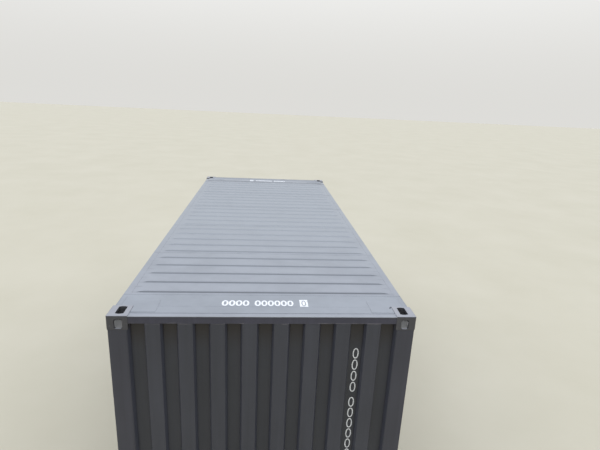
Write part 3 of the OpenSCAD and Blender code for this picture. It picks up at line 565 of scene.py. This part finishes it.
weld("front_wall_welds", "front_wall", lambda n: n.y < -0.1, 0.0025, weld_paint)
for sign, side in ((-1, "left"), (1, "right")):
    weld(f"side_wall_welds_{side}", f"side_wall_{side}", lambda n: n.x * sign > 0.1, 0.0025,
         weld_paint)
for number in range(1, panels + 1):
    # One bead serves each seam: a panel has it along its near edge, and none along its far one
    far_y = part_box(f"roof_panel_{number}")[1][1] - touch
    weld(f"roof_panel_welds_{number}", f"roof_panel_{number}", up, 0.002, roof_weld_paint,
         lambda p: p.y < far_y)
inner_x = abs(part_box("casting_top_front_right")[0][0])
butt_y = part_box("casting_top_front_right")[1][1]
for end in ("front", "rear"):
    weld(f"roof_plate_welds_{end}", f"roof_plate_{end}", up, 0.002, roof_weld_paint,
         lambda p: abs(p.y - butt_y) > 2 * touch or abs(p.x) > inner_x + touch)

# The butt weld between the two front plates is ground down to a low, wide crown
crown_r, crown_h = 0.005, 0.0004
bpy.ops.object.select_all(action="DESELECT")
bpy.ops.mesh.primitive_cylinder_add(vertices=16, radius=crown_r, depth=2 * inner_x)
butt = bpy.context.object
butt.name = "ground_butt_weld"
butt.matrix_world = (Matrix.Translation((0, butt_y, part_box("roof_plate_front")[1][2]))
                     @ Matrix.Diagonal((1, 1, crown_h / crown_r, 1))
                     @ Matrix.Rotation(math.pi / 2, 4, "Y"))
bpy.ops.object.transform_apply(location=True, rotation=True, scale=True)
finish_piece(butt, roof_weld_paint)
weld("corner_plate_welds", "corner_plates", lambda n: n.z < -0.9, 0.003, roof_weld_paint)

# Welds of the frame itself, where posts, headers, sills and rails butt on the castings
for side in ("left", "right"):
    sign = 1 if side == "right" else -1
    for end in ("front", "rear"):
        node = f"{end}_post_{side}"
        low, high = (Vector(corner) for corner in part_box(node))
        weld(f"{end}_post_welds_{side}", node, lambda n: abs(n.z) < 0.1, 0.003, weld_paint,
             lambda p: not low.z + touch < p.z < high.z - touch)
    for level in ("top", "bottom"):
        node = f"{level}_rail_{side}"
        low, high = (Vector(corner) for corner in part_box(node))
        weld(f"{level}_rail_welds_{side}", node, lambda n: abs(n.y) < 0.1 and n.x * sign > -0.1,
             0.003, weld_paint,
             lambda p: not low.y + touch < p.y < high.y - touch)
for node in ("front_header", "door_header", "front_sill", "door_sill"):
    weld(f"{node}_welds", node, lambda n: abs(n.x) < 0.1, 0.003, weld_paint,
         lambda p: abs(abs(p.x) - inner_x) < touch)
for node in ("front_header", "door_header"):
    top_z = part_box(node)[1][2]
    weld(f"{node}_top_welds", node, up, 0.0045, roof_weld_paint,
         lambda p: abs(abs(p.x) - inner_x) < touch and p.z > top_z - touch)

# Numbers: plain digits in white stencil paint, one row on each end of the roof, read
# from outside, and a column of thinner ones in a recess of the front wall.
stencil_white, tree = new_material("white_stencil_paint")
place = add(tree, "TexCoord").outputs["Object"]
# The sprayed film is satin and thin, with chalky patches of about 20 mm
thin = add(tree, "TexNoise", {"Scale": 55.0, "Detail": 5.0, "Roughness": 0.65}, {"Vector": place})
chalk = add(tree, "MapRange", {"From Min": 0.35, "From Max": 0.65, "To Min": 0.0, "To Max": 1.0},
            {"Value": thin.outputs["Fac"]})
white = add(tree, "Mix", {"data_type": "RGBA", 6: linear("#d3d5d8"), 7: linear("#f1f2f3")},
            {0: chalk.outputs[0]})
edge_film = add(tree, "Bump", {"Strength": 0.3, "Distance": 0.0003},
                {"Height": thin.outputs["Fac"]})
shader = add(tree, "BsdfPrincipled", {"Roughness": 0.5, "IOR": 1.5},
             {"Base Color": white.outputs[2], "Normal": edge_film.outputs[0]})
add(tree, "OutputMaterial", links={"Surface": shader.outputs[0]})
paint_film = 0.0004
digit_h = 0.1


def digits(name, body, width, corner, turn, bolder=0.0, film=paint_film):
    """A row of digits as a thin mesh, its lower left corner at a place, turned as a matrix says."""
    bpy.ops.object.select_all(action="DESELECT")
    bpy.ops.object.text_add()
    text = bpy.context.object
    text.name = name
    text.data.body = body
    raised = 0.01
    text.data.extrude = raised
    text.data.offset = bolder
    text.data.resolution_u = 4
    bpy.ops.object.convert(target="MESH")
    text = bpy.context.object
    xs = [v.co.x for v in text.data.vertices]
    ys = [v.co.y for v in text.data.vertices]
    text.scale = (width / (max(xs) - min(xs)), digit_h / (max(ys) - min(ys)), film / (2 * raised))
    text.location = (-min(xs) * text.scale.x, -min(ys) * text.scale.y, paint_film / 2)
    bpy.ops.object.transform_apply(location=True, rotation=True, scale=True)
    text.matrix_world = Matrix.Translation(corner) @ turn
    bpy.ops.object.transform_apply(location=True, rotation=True, scale=True)
    return text


def boxed_digit(name, corner, turn):
    """The check digit of a row: a painted field with the digit left out of it."""
    field = (0.069, 0.13, paint_film)
    inset_x, inset_y = 0.015, (field[1] - digit_h) / 2
    hole = digits(name + "_hole", "0", field[0] - 2 * inset_x,
                  corner + turn.to_3x3() @ Vector((inset_x, inset_y, 0)), turn,
                  film=20 * paint_film)
    bpy.ops.mesh.primitive_cube_add(size=1, location=(0.5, 0.5, 0.5))
    piece = bpy.context.object
    piece.name = name
    bpy.ops.object.transform_apply(location=True, rotation=True, scale=True)
    piece.scale = field
    bpy.ops.object.transform_apply(location=True, rotation=True, scale=True)
    piece.matrix_world = Matrix.Translation(corner) @ turn
    bpy.ops.object.transform_apply(location=True, rotation=True, scale=True)
    cutter = piece.modifiers.new("digit_left_out", "BOOLEAN")
    cutter.operation = "DIFFERENCE"
    cutter.solver = "EXACT"
    cutter.object = hole
    bpy.ops.object.modifier_apply(modifier=cutter.name)
    bpy.data.objects.remove(hole)
    finish_piece(piece, stencil_white)


roof_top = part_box("roof_plate_front")[1][2]
box_start, box_drop = 0.65, 0.015
for end, way, first_x, baseline in (("front", 1, -0.365, -2.838), ("rear", -1, -0.401, -2.797)):
    turn = Matrix.Identity(4) if way > 0 else Matrix.Rotation(math.pi, 4, "Z")
    for part, body, start, width in (("prefix", "0000", 0.0, 0.228),
                                     ("serial", "000000", 0.272, 0.325)):
        corner = Vector((way * (first_x + start), way * baseline, roof_top))
        row = digits(f"roof_{part}_{end}", body, width, corner, turn, bolder=0.02)
        finish_piece(row, stencil_white)
    boxed_digit(f"roof_check_{end}",
                Vector((way * (first_x + box_start), way * (baseline - box_drop), roof_top)), turn)

stand = Matrix.Rotation(math.pi / 2, 4, "X")
column_x, digit_w, step = 0.757, 0.05, 0.1095
for part, top, count in (("prefix", 2.275, 4), ("serial", 1.793, 6), ("check", 1.09, 1)):
    for number in range(count):
        corner = Vector((column_x - digit_w / 2, inner_y, top - digit_h - number * step))
        one = digits(f"wall_{part}_{number + 1}", "0", digit_w, corner, stand, bolder=-0.012)
        finish_piece(one, stencil_white)

# Doors: two leaves of welded tube with a corrugated panel each, hung on forged
# hinges, with four galvanised lock rods, their cams, brackets and flat handles.
for side in ("left", "right"):
    softened(f"door_frame_{side}", wall_paint, edge=0.001)
    softened(f"door_panel_{side}", wall_paint)
    weld(f"door_panel_welds_{side}", f"door_panel_{side}", lambda n: n.y > 0.1, 0.0025,
         weld_paint)
forged_paint = painted_steel("satin_paint_on_forged_steel", coat="#474b50", orange_peel=0.3,
                             scuffs=1.4, cast=0.3)
for node in ("door_hinges", "rod_brackets", "cam_keepers"):
    softened(node, forged_paint, edge=0.001)
weld("keeper_welds", "cam_keepers", lambda n: n.y < -0.9, 0.002, weld_paint)

zinc, tree = new_material("hot_dip_galvanised_steel")
place = add(tree, "TexCoord").outputs["Object"]
# Zinc freezes in flat crystals 8 to 15 mm across, each of its own grey
spangle = add(tree, "TexVoronoi", {"Scale": 90.0}, {"Vector": place})
grey = add(tree, "Mix", {"data_type": "RGBA", 6: linear("#8f9396"), 7: linear("#a7abad")},
           {0: spangle.outputs["Color"]})
dull = add(tree, "TexNoise", {"Scale": 14.0, "Detail": 4.0}, {"Vector": place})
matt = add(tree, "MapRange", {"From Min": 0.3, "From Max": 0.7, "To Min": 0.38, "To Max": 0.58},
           {"Value": dull.outputs["Fac"]})
shader = add(tree, "BsdfPrincipled", {"Metallic": 1.0},
             {"Base Color": grey.outputs[2], "Roughness": matt.outputs[0]})
add(tree, "OutputMaterial", links={"Surface": shader.outputs[0]})
for node in ("lock_rods", "door_handles"):
    softened(node, zinc, edge=0.001)

# Door seal: a black EPDM profile pushed into the gap round the leaves. The extruded
# rubber is matt, with fine drag marks and a grey bloom.
rubber, tree = new_material("extruded_epdm_rubber")
place = add(tree, "TexCoord").outputs["Object"]
bloom = add(tree, "TexNoise", {"Scale": 9.0, "Detail": 5.0}, {"Vector": place})
black = add(tree, "Mix", {"data_type": "RGBA", 6: linear("#161616"), 7: linear("#262626")},
            {0: bloom.outputs["Fac"]})
ribs = add(tree, "TexNoise", {"Scale": 240.0, "Detail": 2.0}, {"Vector": place})
skin = add(tree, "Bump", {"Strength": 0.3, "Distance": 0.0006}, {"Height": ribs.outputs["Fac"]})
shader = add(tree, "BsdfPrincipled", {"Roughness": 0.72},
             {"Base Color": black.outputs[2], "Normal": skin.outputs[0]})
add(tree, "OutputMaterial", links={"Surface": shader.outputs[0]})
softened("door_seal", rubber, edge=0.002)

# Underframe: folded cross members and fork pockets, coated with black wax against
# salt and stone chips. The wax is sprayed on thick, dull and lumpy, in splashes of 15 mm.
wax, tree = new_material("sprayed_underbody_wax")
place = add(tree, "TexCoord").outputs["Object"]
film = add(tree, "TexNoise", {"Scale": 12.0, "Detail": 6.0, "Roughness": 0.6}, {"Vector": place})
tar = add(tree, "Mix", {"data_type": "RGBA", 6: linear("#1d1c1b"), 7: linear("#2e2c2a")},
          {0: film.outputs["Fac"]})
splash = add(tree, "TexNoise", {"Scale": 70.0, "Detail": 3.0}, {"Vector": place})
skin = add(tree, "Bump", {"Strength": 0.6, "Distance": 0.002}, {"Height": splash.outputs["Fac"]})
shader = add(tree, "BsdfPrincipled", {"Roughness": 0.6},
             {"Base Color": tar.outputs[2], "Normal": skin.outputs[0]})
add(tree, "OutputMaterial", links={"Surface": shader.outputs[0]})
for node in ("cross_members", "fork_pockets"):
    softened(node, wax)
    weld(f"{node}_welds", node, lambda n: abs(n.x) > 0.9, 0.0025, wax)

# Floor: boards of 28 mm hardwood plywood, laid lengthwise on the cross members. The
# rotary-cut, oiled face shows grain some 30 mm wide that runs the length of a board.
plywood, tree = new_material("oiled_hardwood_plywood")
place = add(tree, "TexCoord").outputs["Object"]
along = add(tree, "Mapping", {"Scale": (34.0, 1.3, 90.0)}, {"Vector": place})
grain = add(tree, "TexNoise", {"Scale": 1.0, "Detail": 6.0, "Roughness": 0.62, "Distortion": 0.4},
            {"Vector": along.outputs[0]})
wood = add(tree, "Mix", {"data_type": "RGBA", 6: linear("#6b4427"), 7: linear("#9a6d43")},
           {0: grain.outputs["Fac"]})
pores = add(tree, "Bump", {"Strength": 0.4, "Distance": 0.0008}, {"Height": grain.outputs["Fac"]})
shader = add(tree, "BsdfPrincipled", {"Roughness": 0.55},
             {"Base Color": wood.outputs[2], "Normal": pores.outputs[0]})
add(tree, "OutputMaterial", links={"Surface": shader.outputs[0]})
softened("floor_boards", plywood, edge=0.001)

# Ventilators: four small labyrinth boxes of moulded ABS, riveted to the side walls. The
# eroded mould leaves an even satin grain of 2.5 mm, and the sun fades it in patches.
abs_grey, tree = new_material("moulded_abs")
place = add(tree, "TexCoord").outputs["Object"]
grit = add(tree, "TexNoise", {"Scale": 400.0, "Detail": 2.0}, {"Vector": place})
mould = add(tree, "Bump", {"Strength": 0.25, "Distance": 0.0004}, {"Height": grit.outputs["Fac"]})
fade = add(tree, "TexNoise", {"Scale": 20.0, "Detail": 3.0}, {"Vector": place})
tint = add(tree, "Mix", {"data_type": "RGBA", 6: linear("#3b3e41"), 7: linear("#44474b")},
           {0: fade.outputs["Fac"]})
shader = add(tree, "BsdfPrincipled", {"Roughness": 0.5, "IOR": 1.5},
             {"Base Color": tint.outputs[2], "Normal": mould.outputs[0]})
add(tree, "OutputMaterial", links={"Surface": shader.outputs[0]})
softened("ventilators", abs_grey, edge=0.001)

# Fasteners: bolts through the rod brackets and the hinge blades, blind rivets in the
# ventilators, and countersunk screws that hold the floor to every cross member.


def loose_boxes(node):
    """The lowest and highest corners of each loose part of a CAD node."""
    merged_copy(node + "_parts", node)
    bpy.ops.object.mode_set(mode="EDIT")
    bpy.ops.mesh.select_all(action="SELECT")
    bpy.ops.mesh.separate(type="LOOSE")
    bpy.ops.object.mode_set(mode="OBJECT")
    boxes = []
    for part in list(bpy.context.selected_objects):
        points = [vertex.co for vertex in part.data.vertices]
        boxes.append((Vector([min(p[i] for p in points) for i in range(3)]),
                      Vector([max(p[i] for p in points) for i in range(3)])))
        bpy.data.objects.remove(part)
    return boxes


def heads(name, places, turn, radius, height, sides, finish):
    """Bolt, rivet or screw heads: one chamfered head of few faces, copied to each place."""
    bpy.ops.object.select_all(action="DESELECT")
    bpy.ops.mesh.primitive_cylinder_add(vertices=sides, radius=radius, depth=height)
    head = bpy.context.object
    chamfer = head.modifiers.new("chamfer", "BEVEL")
    chamfer.width = height / 4
    chamfer.segments = 1
    bpy.ops.object.modifier_apply(modifier=chamfer.name)
    head.select_set(False)
    for place in places:
        one = head.copy()
        one.data = head.data.copy()
        one.matrix_world = (Matrix.Translation(place) @ turn
                            @ Matrix.Translation((0, 0, height / 2)))
        bpy.context.scene.collection.objects.link(one)
        one.select_set(True)
        bpy.context.view_layer.objects.active = one
    bpy.data.objects.remove(head)
    bpy.ops.object.join()
    bpy.ops.object.transform_apply(location=True, rotation=True, scale=True)
    bpy.context.object.name = name
    finish_piece(bpy.context.object, finish)


# M6 bolts in the four corners of each bracket's plate, which is wider than a bracket's clip
to_doors = Matrix.Rotation(-math.pi / 2, 4, "X")
plate_t, from_edge, widest_clip = 0.004, 0.0065, 0.06
bolts = []
for low, high in loose_boxes("rod_brackets"):
    if high.x - low.x > widest_clip:
        bolts += [Vector((x, low.y + plate_t, z)) for x in (low.x + from_edge, high.x - from_edge)
                  for z in (low.z + 2 * from_edge, high.z - 2 * from_edge)]
heads("bracket_bolts", bolts, to_doors, 0.0055, 0.005, 6, zinc)

# Three pairs of bolts in each hinge blade, which is the widest part of a hinge
blade_t, blade_edge, widest_pin = 0.008, 0.018, 0.1
bolts = []
for low, high in loose_boxes("door_hinges"):
    if high.x - low.x > widest_pin:
        tip_x, way = (low.x, 1) if low.x > 0 else (high.x, -1)
        bolts += [Vector((tip_x + way * along, low.y + blade_t, z))
                  for along in (0.025, 0.075, 0.125)
                  for z in (low.z + blade_edge, high.z - blade_edge)]
heads("hinge_bolts", bolts, to_doors, 0.0095, 0.0075, 6, forged_paint)

# Four blind rivets near the corners of each ventilator's face
rivet_in, lower_z, upper_z = 0.004, 0.017, 0.029
for side, way in (("left", -1), ("right", 1)):
    rivets = []
    for low, high in loose_boxes("ventilators"):
        if (low.x + high.x) * way > 0:
            face_x = high.x if way > 0 else low.x
            rivets += [Vector((face_x, y, z)) for y in (low.y + rivet_in, high.y - rivet_in)
                       for z in (low.z + lower_z, high.z - upper_z)]
    heads(f"ventilator_rivets_{side}", rivets, Matrix.Rotation(way * math.pi / 2, 4, "Y"),
          0.0028, 0.0012, 10, zinc)

# Five screws across each board at every cross member and at both sides of a fork pocket
per_board, from_side, web_in, sunk_in = 5, 0.04, 0.03, 0.0008
boards = sorted({(round(low.x, 4), round(high.x, 4)) for low, high in loose_boxes("floor_boards")})
floor_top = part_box("floor_boards")[1][2]
rows = [(low.y + high.y) / 2 for low, high in loose_boxes("cross_members")]
for low, high in loose_boxes("fork_pockets"):
    rows += [low.y + web_in, high.y - web_in]
screws = [Vector((x0 + from_side + (x1 - x0 - 2 * from_side) * i / (per_board - 1), y,
                  floor_top - sunk_in))
          for x0, x1 in boards for y in rows for i in range(per_board)]
heads("floor_screws", screws, Matrix.Identity(4), 0.007, 0.0012, 10, zinc)
